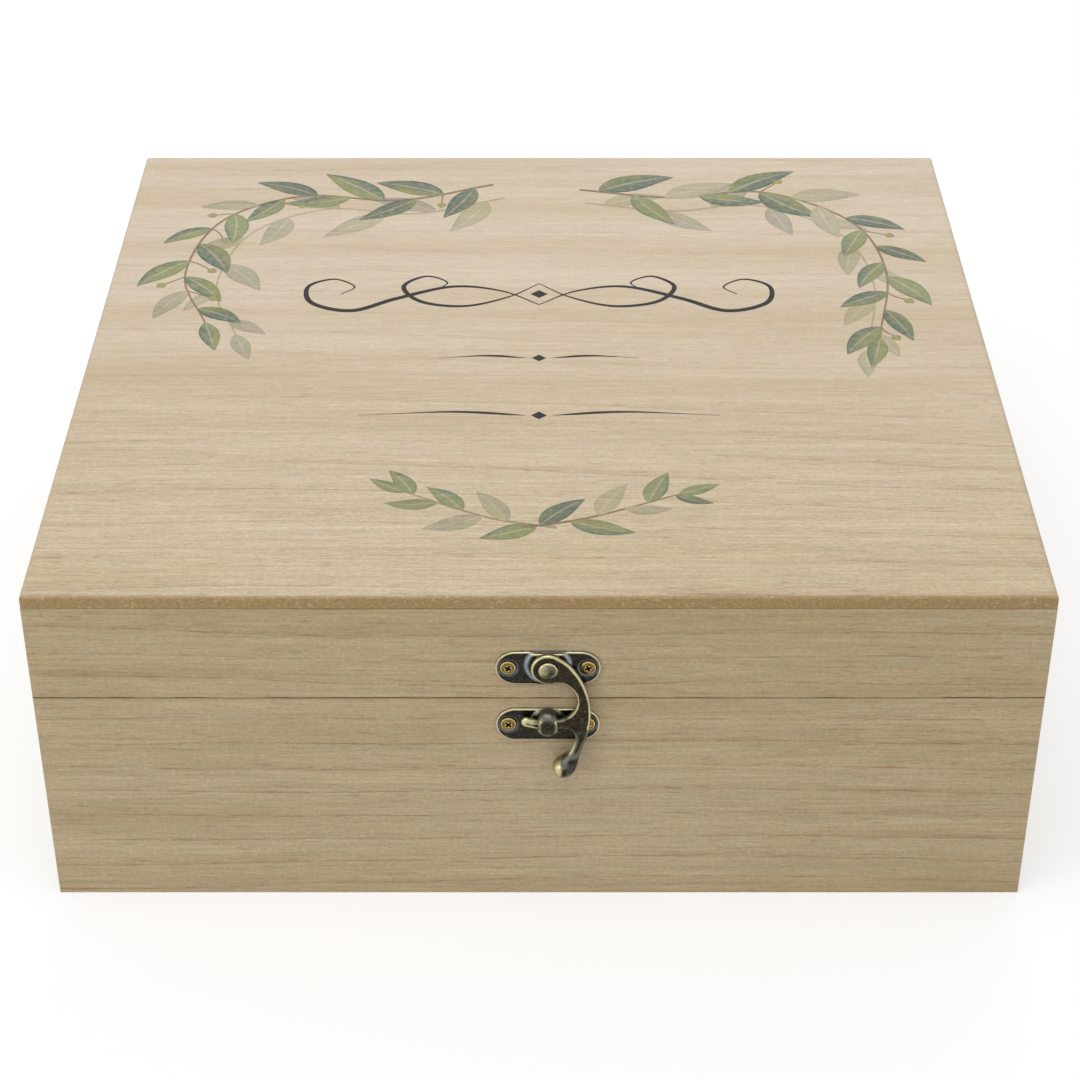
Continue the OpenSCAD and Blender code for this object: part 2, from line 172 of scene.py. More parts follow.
def wood(tree, along, across, seed, tones="front", ring=8.5, wave=5.0, lean=0.01,
         line=0.45, pores=0.3, fibre=0.3, cross=0.07, calm=0.0):
    """Pale wood for a board: its colour and its height for the bump.
    along is the grain's axis, and across the axis on which the growth lines follow each other.
    ring is the lines' spacing and wave how far they wander, in millimetres, and lean their slope;
    line to cross are strengths, and calm is how much of all that is lost, as a number or a field."""
    through = (set(AXES) - {along, across}).pop()
    parts = tree.split(tree.coords())
    point = tree.add("ShaderNodeCombineXYZ", {
        "X": parts[AXES[along]], "Y": parts[AXES[across]], "Z": parts[AXES[through]]}).outputs[0]
    point = tree.vector("ADD", point, (0.31 * seed, 0.17 * seed, 0.23 * seed))
    parts = tree.split(point)
    leaning = tree.math("MULTIPLY_ADD", parts[0], lean, parts[1])

    # growth lines wander slowly along the board, and their strokes lie a little off them
    wander = tree.noise(tree.scaled(point, 0.004, 0.009, 0.009), detail=1.0)
    ripple = tree.noise(tree.scaled(point, 0.013, 0.05, 0.05), detail=2.0)
    jitter = tree.noise(tree.scaled(point, 0.26, 0.7, 0.7), detail=1.0)
    shift = tree.math("MULTIPLY_ADD", wander, 3 * wave, tree.math("MULTIPLY", leaning, 1 / MM))
    shift = tree.math("MULTIPLY_ADD", ripple, 4.0, shift)
    shift = tree.math("MULTIPLY_ADD", jitter, 0.6, shift)
    phase = tree.math("FRACT", tree.math("DIVIDE", shift, ring))

    # each line is a thin broken stroke, with a faint tint that fades on one side of it
    dashes = tree.noise(tree.scaled(point, 0.09, 0.9, 0.9), detail=2.0)
    reach = tree.math("MULTIPLY", phase, ring)
    core = tree.math("MULTIPLY", tree.smooth(reach, 0.0, 0.12), tree.smooth(reach, 0.62, 0.2))
    core = tree.math("MULTIPLY", core, tree.smooth(dashes, 0.38, 0.58))
    halo = tree.math("POWER", tree.math("SUBTRACT", 1.0, phase), 4.0)
    patchy = tree.smooth(tree.noise(tree.scaled(point, 0.014, 0.12, 0.12)), 0.32, 0.68)
    halo = tree.math("MULTIPLY", halo, patchy)

    # pores are short dark strokes that crowd by the lines, and some fibres are pale
    strokes = tree.noise(tree.scaled(point, 0.16, 1.9, 1.9), detail=1.5)
    crowd = tree.math("MULTIPLY_ADD", halo, 0.10, tree.math("MULTIPLY", patchy, 0.03))
    pore = tree.smooth(tree.math("ADD", strokes, crowd), 0.60, 0.76)
    keep = tree.math("SUBTRACT", 1.0, calm)
    halo, core, pore = (tree.math("MULTIPLY", mark, keep) for mark in (halo, core, pore))
    streaks = tree.noise(tree.scaled(point, 0.035, 1.15, 1.15), detail=3.0, roughness=0.75)
    flow = tree.noise(tree.scaled(point, 0.006, 0.28, 0.28), detail=2.0, roughness=0.6)
    hairs = tree.noise(tree.scaled(point, 0.7, 1.8, 1.8), detail=2.0, roughness=0.7)

    # broad tone, mottle, and faint threads across the grain
    tone = tree.noise(tree.scaled(point, 0.005, 0.05, 0.05), detail=2.0)
    mottle = tree.noise(tree.scaled(point, 0.10, 0.35, 0.35), detail=2.0)
    bands = tree.noise(tree.scaled(point, 1.5, 0.25, 0.25), detail=1.0)
    tint = tree.noise(tree.scaled(point, 0.22, 0.6, 0.6), detail=2.0, colour=True)

    colours = TONES[tones]
    colour = tree.mix(tree.smooth(tree.math("MULTIPLY_ADD", mottle, 0.35, tone), 0.4, 0.95),
                      colours["pale"], colours["warm"])
    colour = tree.mix(tree.math("MULTIPLY", halo, 0.6 * line), colour, colours["late"])
    colour = tree.mix(tree.math("MULTIPLY", core, line), colour, colours["pore"])
    colour = tree.mix(tree.math("MULTIPLY", pore, pores), colour, colours["pore"])
    light = tree.math("MULTIPLY_ADD", streaks, 2 * fibre, 1 - fibre)
    light = tree.math("MULTIPLY", light, tree.math("MULTIPLY_ADD", flow, 0.8 * fibre, 1 - 0.4 * fibre))
    light = tree.math("MULTIPLY", light, tree.math("MULTIPLY_ADD", hairs, 2 * fibre, 1 - fibre))
    light = tree.math("MULTIPLY", light, tree.math("MULTIPLY_ADD", bands, 2 * cross, 1 - cross))
    light = tree.math("MULTIPLY_ADD", tree.math("SUBTRACT", light, 1.0), keep, 1.0)
    grey = tree.add("ShaderNodeCombineColor", {0: light, 1: light, 2: light}).outputs[0]
    colour = tree.mix(1.0, colour, grey, "MULTIPLY")
    tint = tree.vector("ADD", tree.vector("MULTIPLY", tint, (0.14, 0.10, 0.16)), (0.93, 0.95, 0.92))
    colour = tree.mix(1.0, colour, tint, "MULTIPLY")

    height = tree.math("SUBTRACT", tree.math("MULTIPLY_ADD", streaks, 0.5, hairs),
                       tree.math("MULTIPLY_ADD", pore, 0.6, tree.math("MULTIPLY", core, 0.4)))
    return colour, height


def board_material(name, along, across, seed, **look):
    """A board's wood, darker on its end grain, with a painted shadow along the arris where lid and base
    meet.
    """
    tree = material_tree(name)
    colour, height = wood(tree, along, across, seed, **look)
    place, normal = tree.coords(), tree.split(tree.coords("Normal"))
    end_grain = tree.smooth(tree.math("ABSOLUTE", normal[AXES[along]]), 0.6, 0.9)
    rays = tree.noise(tree.scaled(place, 0.5, 0.5, 3.0), detail=3.0, roughness=0.7)
    end_tint = tree.mix(tree.smooth(rays, 0.35, 0.65), srgb(216, 196, 168), srgb(244, 234, 218))
    colour = tree.mix(end_grain, colour, tree.mix(1.0, colour, end_tint, "MULTIPLY"))

    # painted shadow of the gap where lid and base meet: a dark line, uneven along the board, and only
    # on faces that stand upright
    off = tree.math("ABSOLUTE", tree.math("SUBTRACT", tree.split(place)[2], SEAM_Z))
    upright = tree.smooth(tree.math("ABSOLUTE", normal[2]), 0.95, 0.75)
    seam_shadow = tree.math("MULTIPLY", upright, tree.smooth(off, 0.34 * MM, 0.16 * MM, 0.0, 0.95))
    breaks = tree.noise(tree.scaled(place, 0.07, 0.07, 0.0), detail=2.0)
    seam_shadow = tree.math("MULTIPLY", seam_shadow, tree.smooth(breaks, 0.36, 0.54, 0.1, 1.0))
    colour = tree.mix(seam_shadow, colour, tree.mix(1.0, colour, srgb(152, 106, 70), "MULTIPLY"))
    return tree.finish({
        "Base Color": colour, "Roughness": 0.55, "Specular IOR Level": 0.4,
        "Normal": tree.bump(height, GRAIN_DEPTH, 0.5)})


PANEL_LOOK = {"tones": "face", "ring": 14.0, "wave": 9.0, "lean": 0.03, "line": 0.4,
              "pores": 0.4, "fibre": 0.32, "cross": 0.05}


def panel_grain_and_sheen(tree):
    """The panel's face, with a painted sheen that makes it paler, pinker and calmer towards the back.
    """
    place = tree.coords()
    drift = tree.noise(tree.scaled(place, 0.006, 0.03, 0.03))
    depth = tree.math("MULTIPLY_ADD", drift, 60 * MM, tree.split(place)[1])
    # painted sheen: the grain grows calmer towards the back
    calm = tree.smooth(depth, -80 * MM, 60 * MM, 0.0, 0.46)
    colour, height = wood(tree, "X", "Y", 3.0, calm=calm, **PANEL_LOOK)
    # painted sheen: a paler tint towards the back
    back_sheen = tree.smooth(depth, -50 * MM, 100 * MM)
    tint = tree.mix(back_sheen, (0.92, 0.91, 0.90, 1), (1.05, 1.06, 1.17, 1))
    return tree.mix(1.0, colour, tint, "MULTIPLY"), height


def panel_material():
    """The lid's panel: its sawn edges are darker and rougher than its face."""
    tree = material_tree("panel_wood")
    # the face's grain, with its painted sheen towards the back
    colour, height = panel_grain_and_sheen(tree)
    upward = tree.math("ABSOLUTE", tree.split(tree.coords("Normal"))[2])
    edge = tree.smooth(upward, 0.95, 0.35)
    place = tree.coords()
    crumbs = tree.noise(tree.scaled(place, 0.9, 2.2, 2.2), detail=3.0, roughness=0.7)
    flecks = tree.smooth(tree.noise(tree.scaled(place, 0.8, 0.8, 0.8), detail=2.0), 0.60, 0.72)
    sawn = tree.mix(tree.smooth(crumbs, 0.3, 0.75), srgb(150, 118, 68), srgb(188, 158, 104))
    sawn = tree.mix(tree.math("MULTIPLY", flecks, 0.5), sawn, srgb(214, 194, 152))
    colour = tree.mix(tree.math("MULTIPLY", edge, 0.9), colour, sawn)
    rough = tree.math("MULTIPLY", crumbs, edge)
    height = tree.math("MULTIPLY_ADD", rough, 2.0, height)
    return tree.finish({
        "Base Color": colour, "Roughness": 0.5, "Specular IOR Level": 0.5,
        "Normal": tree.bump(height, GRAIN_DEPTH, 0.5)})


# ---- Castings: shapes as distance fields in millimetres ----
# u runs to the right, v up, and w out of the box's front face. A field is negative inside the metal.

SPREAD = 2                      # grid cells to each side that a casting's relief is taken over


def blend(a, b, radius):
    """Joins two fields with a fillet of about this radius."""
    overlap = np.maximum(radius - np.abs(a - b), 0)
    return np.minimum(a, b) - overlap * overlap / (4 * radius)


def carve(a, b, radius):
    """Cuts field b out of field a and rounds the rim."""
    return -blend(-a, b, radius)


def slab(flat, w, back, front, round_r):
    """Gives a flat outline its thickness, with rounded edges."""
    p = flat + round_r
    q = np.abs(w - (back + front) / 2) - (front - back) / 2 + round_r
    return np.hypot(np.maximum(p, 0), np.maximum(q, 0)) + np.minimum(np.maximum(p, q), 0) - round_r


def disc(u, v, r, centre=(0, 0)):
    return np.hypot(u - centre[0], v - centre[1]) - r


def stadium(u, v, length, height):
    return np.hypot(np.maximum(np.abs(u) - (length - height) / 2, 0), v) - height / 2


def ease(t, start, end):
    """Rises smoothly from 0 at start to 1 at end."""
    t = np.clip((t - start) / (end - start), 0, 1)
    return t * t * (3 - 2 * t)


def curvature(value, cell):
    """A field's curvature over a third of a millimetre: above 0 on edges and below in hollows."""
    around = value
    for axis in range(3):
        around = sum(np.roll(around, k, axis) for k in range(-SPREAD, SPREAD + 1)) / (2 * SPREAD + 1)
    return 6 * (around - value) / ((SPREAD + 0.5) * cell) ** 2


def crossings(value, relief):
    """The grid cells that the surface crosses: their numbers on the grid, a vertex in each,
    counted in cells, and the mean relief there."""
    shape = np.array(value.shape) - 1

    def corner(grid, shift):
        return grid[tuple(slice(s, s + n) for s, n in zip(shift, shape))]

    place = np.zeros((*shape, 3))
    total = np.zeros(shape)
    hits = np.zeros(shape)
    for axis in range(3):
        for a, b in ((0, 0), (0, 1), (1, 0), (1, 1)):
            shift = [a, b]
            shift.insert(axis, 0)
            far = list(shift)
            far[axis] = 1
            near_value, far_value = corner(value, shift), corner(value, far)
            crossed = (near_value < 0) != (far_value < 0)
            step = near_value / np.where(crossed, near_value - far_value, 1)
            for k in range(3):
                place[..., k] += crossed * (shift[k] + (step if k == axis else 0))
            total += crossed * corner(relief, shift)
            hits += crossed
    used = hits > 0
    index = np.full(shape, -1)
    index[used] = np.arange(used.sum())
    points = place[used] / hits[used][:, None] + np.argwhere(used)
    return index, points, total[used] / hits[used]


def skin(value, index):
    """Four-sided faces between the vertices of neighbouring cells, wound to face outwards."""
    shape = index.shape
    faces = []
    for axis in range(3):
        near, far = [slice(1, n) for n in shape], [slice(1, n) for n in shape]
        near[axis], far[axis] = slice(0, shape[axis]), slice(1, shape[axis] + 1)
        inside, beyond = value[tuple(near)] < 0, value[tuple(far)] < 0
        one, two = [k for k in range(3) if k != axis]
        ring = []
        for a, b in ((-1, -1), (0, -1), (0, 0), (-1, 0)):
            cut = [slice(1, n) for n in shape]
            cut[axis] = slice(0, shape[axis])
            cut[one] = slice(1 + a, shape[one] + a)
            cut[two] = slice(1 + b, shape[two] + b)
            ring.append(index[tuple(cut)])
        ring = np.stack(ring, -1)
        forward, backward = ring[inside & ~beyond], ring[~inside & beyond][:, ::-1]
        if axis == 1:
            forward, backward = forward[:, ::-1], backward[:, ::-1]
        faces += forward.tolist() + backward.tolist()
    return faces


def cast(field, low, high, cell, floor=None, handled=None):
    """Meshes a field on a grid: points, faces, and the relief at each point.
    Nothing is left behind the floor. The last argument adds to the relief where the piece is rubbed,
    and on some pieces paints highlight and shade onto it."""
    margin = (SPREAD + 1.5) * cell
    axes = [np.arange(a - margin, b + margin + cell, cell) for a, b in zip(low, high)]
    grid = np.meshgrid(*axes, indexing="ij")
    value = field(*grid)
    relief = curvature(value, cell)
    if handled:
        relief += handled(*grid)
    if floor is not None:
        value = np.maximum(value, floor - grid[2])
    index, points, relief = crossings(value, relief)
    return points * cell + [a[0] for a in axes], skin(value, index), np.clip(relief, -4, 4)


def front_piece(name, field, low, high, cell, x, z, body, slot, material, stands_for=None, **more):
    """A casting on the front face: local u, v, w from the point x, z of that face."""
    points, faces, relief = cast(field, low, high, cell, **more)
    u, v, w = points.T * MM
    mesh = bpy.data.meshes.new(name)
    mesh.from_pydata(np.stack([x + u, FRONT_Y - w, z + v], -1).tolist(), [], faces)
    mesh.attributes.new("relief", "FLOAT", "POINT").data.foreach_set("value", relief)
    mesh.polygons.foreach_set("use_smooth", [True] * len(faces))
    mesh.materials.append(material)
    piece = bpy.data.objects.new(name, mesh)
    bpy.context.scene.collection.objects.link(piece)
    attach(piece, body)
    if stands_for:
        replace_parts(piece, stands_for)
    return piece


# ---- Clasp ----

PIVOT = next(Vector(j["pos_m"]) for j in frame["joints"] if j["name"] == "hook_swing")
CLASP_X = PIVOT.x
REACH = 19.4                    # pivot to the middle of the finger and the keeper
PLATE_W, PLATE_H, PLATE_T = 29.0, 10.9, 0.8
SCREW_OUT = 11.0                # plate's middle to each screw
DISH_R, DISH_FLAT_R, DISH_DEPTH, SCREW_HOLE_R = 3.7, 2.3, 0.42, 1.1
BOSS_TOP_R, BOSS_FOOT_R, BOSS_FRONT = 5.4, 7.2, 1.7
HOLLOW_R, HOLLOW_FRONT = 3.4, 0.95
BORE_R = 1.55                   # rivet's bore in the plate and in the hook
RIVET_R, RIVET_DOME_R, RIVET_SEAT, RIVET_TOP = 2.7, 4.3, 3.74, 4.94
STEM_R, STEM_BACK = 1.5, 0.1
RIVET_TAIL_R, RIVET_TAIL_MIDDLE, RIVET_TAIL_HALF = 2.4, 0.45, 0.35
POST_W, POST_H, POST_FRONT, POST_CORNER = 6.3, 8.3, 4.92, 3.0
FLANGE_R, FLANGE_T, FLANGE_SLOPE = 4.1, 0.75, 1.2
POST_BORE_R = 1.75              # in the keeper plate
SLOT_HALF_W, SLOT_HALF_T = 1.65, 1.2
SCREW_R, SCREW_RIM, SCREW_TOP, SHANK_R, SCREW_TIP = 2.25, 0.62, 1.12, 1.0, -6.6

HOOK_BACK, HOOK_FRONT = 1.82, 3.62
HOOK_MIDDLE = (HOOK_BACK + HOOK_FRONT) / 2
EYE_R = 4.8
ARM_LEAN = math.radians(23)     # how far the arm leaves the eye downwards
ARM_OUTSIDE, ARM_OUTSIDE_R = (-15.1, -15.5), 27.0
ARM_INSIDE, ARM_INSIDE_R = (1.0, -11.07), 6.98
CROTCH, CROTCH_R = (4.7, -23.2), 2.75
FINGER_R, FINGER_TIP_U, FINGER_ROOT_U = 1.1, -6.05, 8.5
TAIL_CENTRE, TAIL_R, TAIL_START, TAIL_END = (-10.4, -20.0), 19.8, -7.6, -41.5


def middle_z(name):
    low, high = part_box(name)
    return (low.z + high.z) / 2


def plate_field(u, v, w):
    """A clasp plate with a dished seat round each screw."""
    body = slab(stadium(u, v, PLATE_W, PLATE_H), w, -4, PLATE_T, 0.34)
    for side in (-1, 1):
        away = np.hypot(u - side * SCREW_OUT, v)
        dish = (PLATE_T - DISH_DEPTH - w) + np.maximum(away - DISH_FLAT_R, 0) * 0.42
        body = carve(body, np.maximum(dish, away - DISH_R) * 0.9, 0.35)
        body = carve(body, away - SCREW_HOLE_R, 0.1)
    return body


def plate_edge_shade(u, v, w):
    """Painted shade: a plate's long edges get less of the bright edge colour than its round ends, most
    of all below, where less light falls.
    """
    straight = 1 - ease(np.abs(u), 8.5, 12.5)
    return -straight * (0.75 * ease(-v, 4.0, 5.2) + 0.35 * ease(v, 4.0, 5.2))


def hook_plate_field(lift):
    """The upper plate and its boss, which lies that far above the plate's middle and is hollow
    behind for the rivet's tail."""
    def field(u, v, w):
        body = plate_field(u, v, w)
        away = np.hypot(u, v - lift)
        spread = (BOSS_FOOT_R - BOSS_TOP_R) / (BOSS_FRONT - PLATE_T / 2)
        cone = (away - BOSS_TOP_R - (BOSS_FRONT - w) * spread) / math.hypot(1, spread)
        boss = -blend(-cone, BOSS_FRONT - w, 0.5)
        boss = -blend(-boss, -(stadium(u, v, PLATE_W, PLATE_H) + 0.05), 0.35)
        body = blend(body, boss, 0.5)
        body = carve(body, np.maximum(away - HOLLOW_R, w - HOLLOW_FRONT), 0.2)
        return carve(body, away - BORE_R, 0.1)
    return field


def keeper_plate_field(lift):
    """The lower plate, with a bore for the post that far above its middle."""
    def field(u, v, w):
        return carve(plate_field(u, v, w), disc(u, v, POST_BORE_R, (0, lift)), 0.1)
    return field


def keeper_field(drop):
    """The post on its flange, with the slot that the finger swings through."""
    def field(u, v, w):
        front = PLATE_T + FLANGE_T
        cone = (disc(u, v, FLANGE_R) - (front - w) * FLANGE_SLOPE) / math.hypot(1, FLANGE_SLOPE)
        flange = -blend(-cone, front - w, 0.3)
        flange = -blend(-flange, -(stadium(u, v - drop, PLATE_W, PLATE_H) + 0.1), 0.3)
        p, q = np.abs(u) - POST_W / 2 + POST_CORNER, np.abs(v) - POST_H / 2 + POST_CORNER
        outline = np.hypot(np.maximum(p, 0), np.maximum(q, 0)) - POST_CORNER
        outline += np.minimum(np.maximum(p, q), 0)
        crown = w - POST_FRONT + 0.6 * (2 * u / POST_W) ** 2 + 1.3 * (2 * v / POST_H) ** 2
        post = -blend(-outline, -0.85 * crown, 1.7)
        body = blend(flange, post, 0.6)
        ring = np.abs(np.hypot(u, v - REACH) - REACH) - SLOT_HALF_W
        slot = np.maximum(ring, np.abs(w - HOOK_MIDDLE) - SLOT_HALF_T)
        return carve(body, slot, 0.25)
    return field


def hook_field(u, v, w):
    """The swing hook from its pivot: eye, bowed arm, finger, and tail with its thumb ball."""
    eye = disc(u, v, EYE_R)
    outer = disc(u, v, ARM_OUTSIDE_R, ARM_OUTSIDE)
    inner = disc(u, v, ARM_INSIDE_R, ARM_INSIDE)
    crotch = disc(u, v, CROTCH_R, CROTCH)
    lean_s, lean_c = math.sin(ARM_LEAN), math.cos(ARM_LEAN)
    shoulder = u * lean_s + v * lean_c - EYE_R
    arm = -blend(-outer, -shoulder, 1.6)
    arm = np.maximum(arm, np.maximum(-inner, -crotch))
    left = np.where(v > -3, v * lean_s - u * lean_c, 2.0 - u)
    arm = np.maximum(arm, np.maximum(left, np.minimum(CROTCH[0] - u, -REACH - v)))
    foot = (-23.8 - v + 0.6 * (8.6 - u)) / math.hypot(1, 0.6)
    arm = -blend(-arm, -foot, 1.2)
    outline = blend(eye, arm, 0.02 + 1.85 * ease(-v, 0, 3))
    tip, root = math.asin(FINGER_TIP_U / REACH), math.asin(FINGER_ROOT_U / REACH)
    angle = np.clip(np.arctan2(u, -v), tip, root)
    aside = np.hypot(u - REACH * np.sin(angle), v + REACH * np.cos(angle))
    outline = blend(outline, aside - FINGER_R, 1.2)
    body = slab(outline, w, HOOK_BACK, HOOK_FRONT, 0.68)
    half = (HOOK_FRONT - HOOK_BACK) / 2 + 0.06
    finger = (np.hypot(aside / 1.45, (w - HOOK_MIDDLE) / half) - 1) * half
    body = blend(body, finger, 0.5)

    # the tail follows an arc in the face's plane, and comes forward as it swells into the ball
    cx, cy = TAIL_CENTRE
    turn = np.clip(np.degrees(np.arctan2(v - cy, u - cx)), TAIL_END, TAIL_START)
    along = (TAIL_START - turn) / (TAIL_START - TAIL_END)
    cu, cv = cx + TAIL_R * np.cos(np.radians(turn)), cy + TAIL_R * np.sin(np.radians(turn))
    cw = HOOK_MIDDLE + 1.58 * ease(along, 0.1, 0.95)
    thick = 1.2 + 0.25 * ease(along, 0.0, 0.3) + 1.75 * ease(along, 0.45, 1.0)
    tail = np.sqrt((u - cu) ** 2 + (v - cv) ** 2 + (w - cw) ** 2) - thick
    body = blend(body, np.maximum(tail * 0.9, HOOK_BACK - w), 1.6)
    return carve(body, disc(u, v, BORE_R), 0.15)


def hook_rub_and_light(u, v, w):
    """Painted light with some rub: a painted highlight on the ball's left side and on the tail's inner
    edge above it, painted shade on the ball's right side, some rub over the whole ball, and the finger
    rubbed by the post and brighter towards its tip, partly painted highlight."""
    ball = ease(-v, 29, 31.5)
    # painted highlight on the ball's left side
    left = ease(-u, -5.4, -2.2) * ease(w, 3.0, 5.0)
    # painted shade on the ball's right side
    ball_right_shade = ease(u, 3.2, 6.2) * ease(-v, 28.0, 30.5) * (1 - ease(-v, 33.0, 36.2))
    inner = TAIL_R - np.hypot(u - TAIL_CENTRE[0], v - TAIL_CENTRE[1])
    # painted highlight along the tail's inner edge
    edge = ease(inner, 0.75, 1.15) * ease(-v, 22.5, 24.5)
    # the finger: rub from the post, and painted highlight towards its tip
    finger = 0.8 * ease(-u, -0.5, 5.5) * ease(-v, 15, 17)
    return ball * (0.3 + 0.8 * left) - 1.35 * ball_right_shade + (1 - ball) * (1.1 * edge + finger)


def rivet_field(u, v, w):
    """The domed rivet, its stem, and its tail spread out in the plate's hollow."""
    away = np.hypot(u, v)
    dome = np.sqrt(away ** 2 + (w - RIVET_TOP + RIVET_DOME_R) ** 2) - RIVET_DOME_R
    head = -blend(-(away - RIVET_R), -np.maximum(dome, RIVET_SEAT - w), 0.25)
    stem = np.maximum(away - STEM_R, np.maximum(STEM_BACK - w, w - RIVET_SEAT - 0.4))
    tail = np.maximum(away - RIVET_TAIL_R, np.abs(w - RIVET_TAIL_MIDDLE) - RIVET_TAIL_HALF)
    return blend(head, np.minimum(stem, tail), 0.1)


def cross_recess(u, v, w, turn):
    """The cross in a screw head, narrower and shorter with depth."""
    c, s = math.cos(math.radians(turn)), math.sin(math.radians(turn))
    depth = SCREW_TOP - w
    wide, long = 0.34 - 0.14 * depth, 1.15 - 0.5 * depth
    a, b = np.abs(u * c + v * s), np.abs(v * c - u * s)
    cross = np.minimum(np.maximum(a - wide, b - long), np.maximum(b - wide, a - long))
    return np.maximum(cross, depth - 1.0)


def screw_field(turn):
    """A domed screw head with a cross recess, and its shank."""
    def field(u, v, w):
        away = np.hypot(u, v)
        dome_r = (SCREW_R ** 2 + (SCREW_TOP - SCREW_RIM) ** 2) / (2 * (SCREW_TOP - SCREW_RIM))
        dome = np.sqrt(away ** 2 + (w - SCREW_TOP + dome_r) ** 2) - dome_r
        under = (away - SHANK_R - (w - 0.1) * 2.9) / 3.07
        head = -blend(-np.maximum(dome, under), -(away - SCREW_R), 0.2)
        head = carve(head, cross_recess(u, v, w, turn), 0.08)
        shank = away - SHANK_R - np.minimum(w + 4.6, 0) * 0.45
        return np.minimum(head, np.maximum(shank, np.maximum(w - 0.3, SCREW_TIP - w)))
    return field


def screw_recess_shade(turn):
    """Painted shade: the recess and its rim are darkened, and the rim gets no bright edge colour."""
    return lambda u, v, w: -2.6 * (1 - ease(cross_recess(u, v, w, turn), 0.04, 0.3))


def join(name, pieces):
    """One object from several meshes, such as a pair of screws."""
    first = pieces[0]
    for other in pieces[1:]:
        both = bmesh.new()
        both.from_mesh(first.data)
        both.from_mesh(other.data)
        both.to_mesh(first.data)
        both.free()
        bpy.data.objects.remove(other)
    first.name = name
    return first


# ---- Metal ----

def bronze_material(name, dark, brown, sheen, bright_wear_and_highlight, cast_piece=True):
    """Antique plating: dark on the flats, with a painted sheen of reflected light on slopes, rubbed
    bright on the edges, and near black in hollows, as patina and painted shade. A casting brings its
    own relief, which on some pieces also carries painted highlight and shade. On the other pieces the
    edges are where the normal leans."""
    tree = material_tree(name)
    place = tree.coords()
    x, y, z = tree.split(tree.vector("ABSOLUTE", tree.coords("Normal")))
    if cast_piece:
        relief = tree.add("ShaderNodeAttribute", attribute_name="relief").outputs["Fac"]
        flat_sheen = 1.0
    else:
        most = tree.math("MAXIMUM", tree.math("MAXIMUM", x, y), z)
        relief = tree.smooth(most, 0.98, 0.80, 0.0, 1.1)
        flat_sheen = 0.3
    patch = tree.noise(tree.scaled(place, 0.16, 0.16, 0.16), detail=1.0)
    mottle = tree.noise(tree.scaled(place, 0.7, 0.7, 0.7), detail=4.0, roughness=0.62)
    grit = tree.noise(tree.scaled(place, 4.0, 4.0, 4.0), detail=3.0, roughness=0.7)
    # painted reflection on slopes: they take the sheen colour instead of the flats' colour
    slope_sheen = tree.math("MULTIPLY", tree.smooth(y, 0.985, 0.87), tree.smooth(mottle, 0.2, 0.6, 0.5, 1.0))
    slope_sheen = tree.math("MULTIPLY", slope_sheen, tree.smooth(relief, 1.1, 0.75, 0.25, flat_sheen))
    stain = tree.mix(tree.smooth(mottle, 0.45, 0.75), dark, brown)
    stain = tree.mix(tree.smooth(grit, 0.56, 0.74, 0.0, 0.42), stain, bright_wear_and_highlight)
    colour = tree.mix(slope_sheen, stain, sheen)
    # bright edges: real wear, and painted highlight where the relief carries it
    rub_and_highlight = tree.math("MULTIPLY_ADD", grit, 0.7, tree.math("MULTIPLY_ADD", mottle, 0.9, relief))
    rub_and_highlight = tree.math("MULTIPLY_ADD", patch, 1.2, rub_and_highlight)
    wear_and_highlight = tree.smooth(rub_and_highlight, 2.05, 3.15)
    colour = tree.mix(wear_and_highlight, colour, bright_wear_and_highlight)
    # near black where the relief is low: patina in hollows, and painted shade where the relief was
    # lowered
    hollow_patina_and_shade = tree.smooth(relief, -0.15, -0.9)
    colour = tree.mix(tree.math("MULTIPLY", hollow_patina_and_shade, 0.92), colour, srgb(14, 12, 9))
    rough = tree.math("MULTIPLY_ADD", grit, 0.2, 0.24)
    return tree.finish({
        "Base Color": colour, "Metallic": 1.0, "Roughness": rough,
        "Normal": tree.bump(grit, 0.03 * MM, 0.4)})


def steel_material():
    """Drawn wire, with fine lines along it."""
    tree = material_tree("pin_steel")
    drawn = tree.noise(tree.scaled(tree.coords(), 0.2, 6.0, 6.0), detail=2.0)
    colour = tree.mix(drawn, srgb(120, 112, 96), srgb(176, 168, 150))
    rough = tree.math("MULTIPLY_ADD", drawn, 0.2, 0.3)
    return tree.finish({"Base Color": colour, "Metallic": 1.0, "Roughness": rough})


